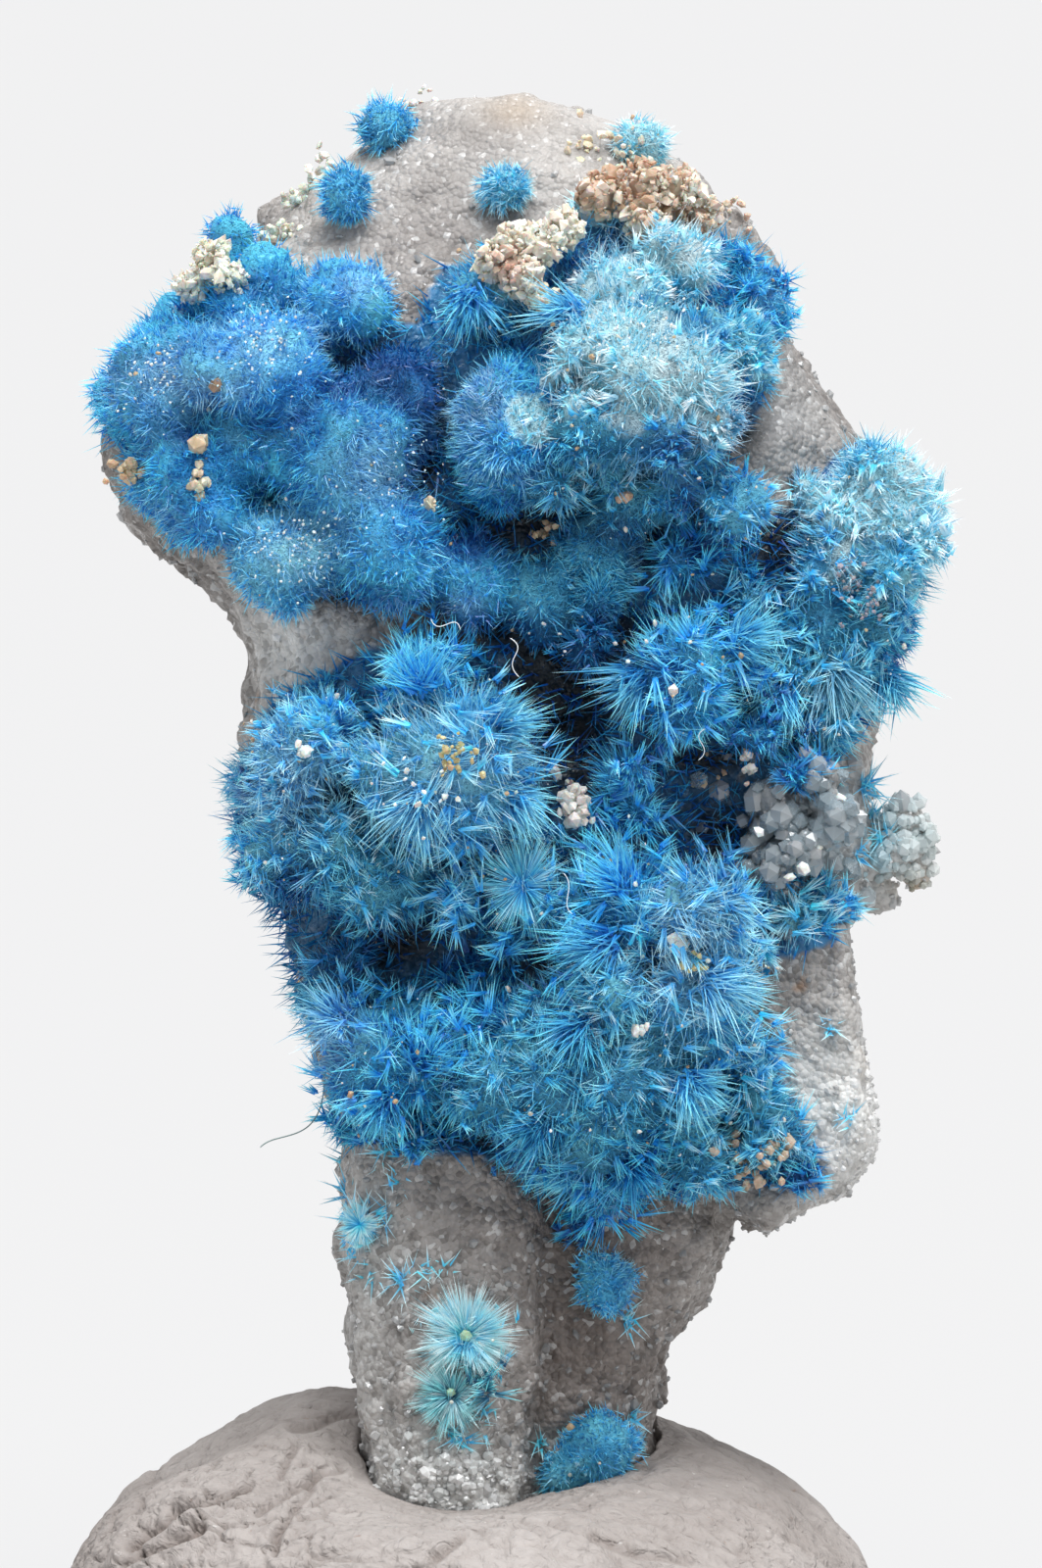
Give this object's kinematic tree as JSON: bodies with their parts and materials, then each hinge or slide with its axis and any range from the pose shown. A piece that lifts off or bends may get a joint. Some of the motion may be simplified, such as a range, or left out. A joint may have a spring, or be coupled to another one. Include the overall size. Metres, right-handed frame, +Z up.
{
  "type": "cyanotrichite specimen",
  "caption": "Cyanotrichite specimen: blue balls and sprays of fine needles on a sugary quartz slab, its narrow foot pressed into a lump of grey putty that rests flat.",
  "frame": {"origin": "middle of the putty's flat underside", "axes": "+Z up through the specimen, -Y towards the side that carries the blue sprays, +X to the right seen from there"},
  "size_m": [0.0138, 0.0156, 0.0247],
  "materials": {
    "quartz": "sugary grey-brown quartz, partly clear, dull sparkle",
    "azure_needles": "silky azure needles, deep blue at the root",
    "pale_needles": "silky light-blue to pale cyan needles",
    "cream_crust": "cream-white grainy crust, matt",
    "brown_crust": "brown to cream grainy crust, matt",
    "putty": "warm grey putty, matt, finely creased"
  },
  "bodies": {
    "root": {"matrix": "quartz", "spray_lower": "azure_needles", "spray_middle": "azure_needles", "spray_shoulder": "pale_needles", "spray_head_right": "pale_needles", "spray_head_left": "azure_needles", "spray_side": "pale_needles", "tuft_foot": "pale_needles", "tuft_foot_left": "pale_needles", "patch_foot_high": "azure_needles", "patch_foot_low": "azure_needles", "tuft_top": "azure_needles", "tuft_top_left": "azure_needles", "tuft_top_far_left": "azure_needles", "tuft_top_middle": "azure_needles", "tuft_top_right": "pale_needles", "tuft_head_edge": "azure_needles", "tuft_back_high": "azure_needles", "tuft_back_low": "pale_needles", "crust_cream": "cream_crust", "crust_brown": "brown_crust", "crust_left": "cream_crust", "putty": "putty"}
  },
  "joints": []
}
